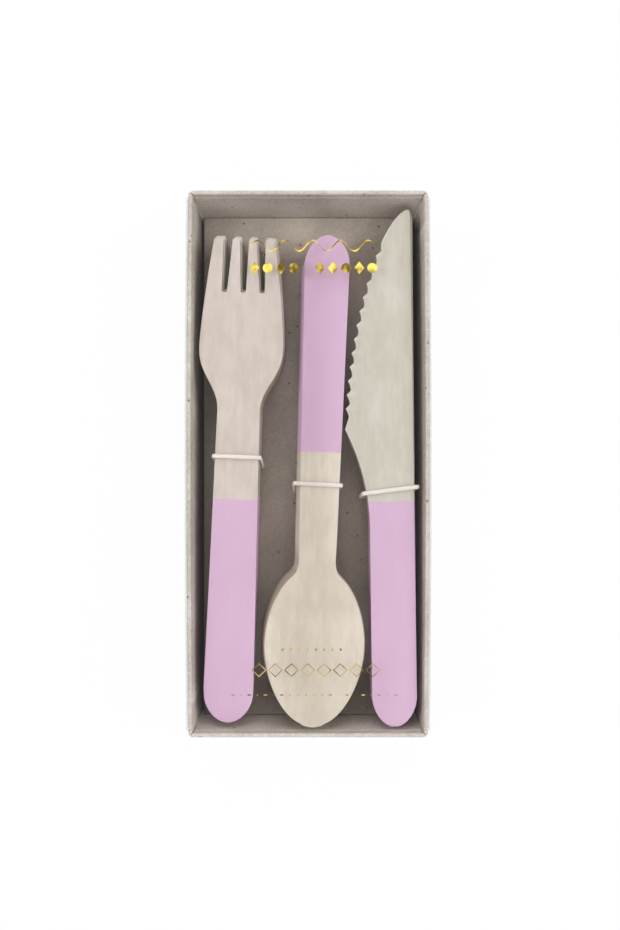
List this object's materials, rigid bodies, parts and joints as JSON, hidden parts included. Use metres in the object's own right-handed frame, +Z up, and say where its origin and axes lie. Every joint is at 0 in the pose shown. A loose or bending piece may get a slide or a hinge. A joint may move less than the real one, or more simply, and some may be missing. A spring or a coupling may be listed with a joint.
{
  "type": "pack of wooden cutlery",
  "caption": "Long folded card tray with a raised card platform, tied stacks of pressed birch forks, spoons and knives with painted handles, and a clear open-ended wrap.",
  "frame": {"origin": "centre of the pack's underside, on the surface that it lies on", "axes": "+Z up out of the open tray, +Y along the tray towards the fork tines and knife points, +X across it towards the knives"},
  "size_m": [0.0778, 0.172, 0.0276],
  "materials": {
    "card": "matt grey-brown recycled card with dark flecks",
    "film": "clear glossy film with gold print",
    "painted_birch": "bare pale birch with a pink-lilac painted handle",
    "elastic": "off-white covered elastic"
  },
  "bodies": {
    "root": {"tray": "card", "platform": "card", "sleeve": "film", "fork_1": "painted_birch", "fork_2": "painted_birch", "fork_3": "painted_birch", "fork_4": "painted_birch", "fork_5": "painted_birch", "fork_6": "painted_birch", "fork_7": "painted_birch", "fork_8": "painted_birch", "spoon_1": "painted_birch", "spoon_2": "painted_birch", "spoon_3": "painted_birch", "spoon_4": "painted_birch", "spoon_5": "painted_birch", "spoon_6": "painted_birch", "spoon_7": "painted_birch", "spoon_8": "painted_birch", "knife_1": "painted_birch", "knife_2": "painted_birch", "knife_3": "painted_birch", "knife_4": "painted_birch", "knife_5": "painted_birch", "knife_6": "painted_birch", "knife_7": "painted_birch", "knife_8": "painted_birch", "tie_fork": "elastic", "tie_spoon": "elastic", "tie_knife": "elastic"}
  },
  "joints": []
}
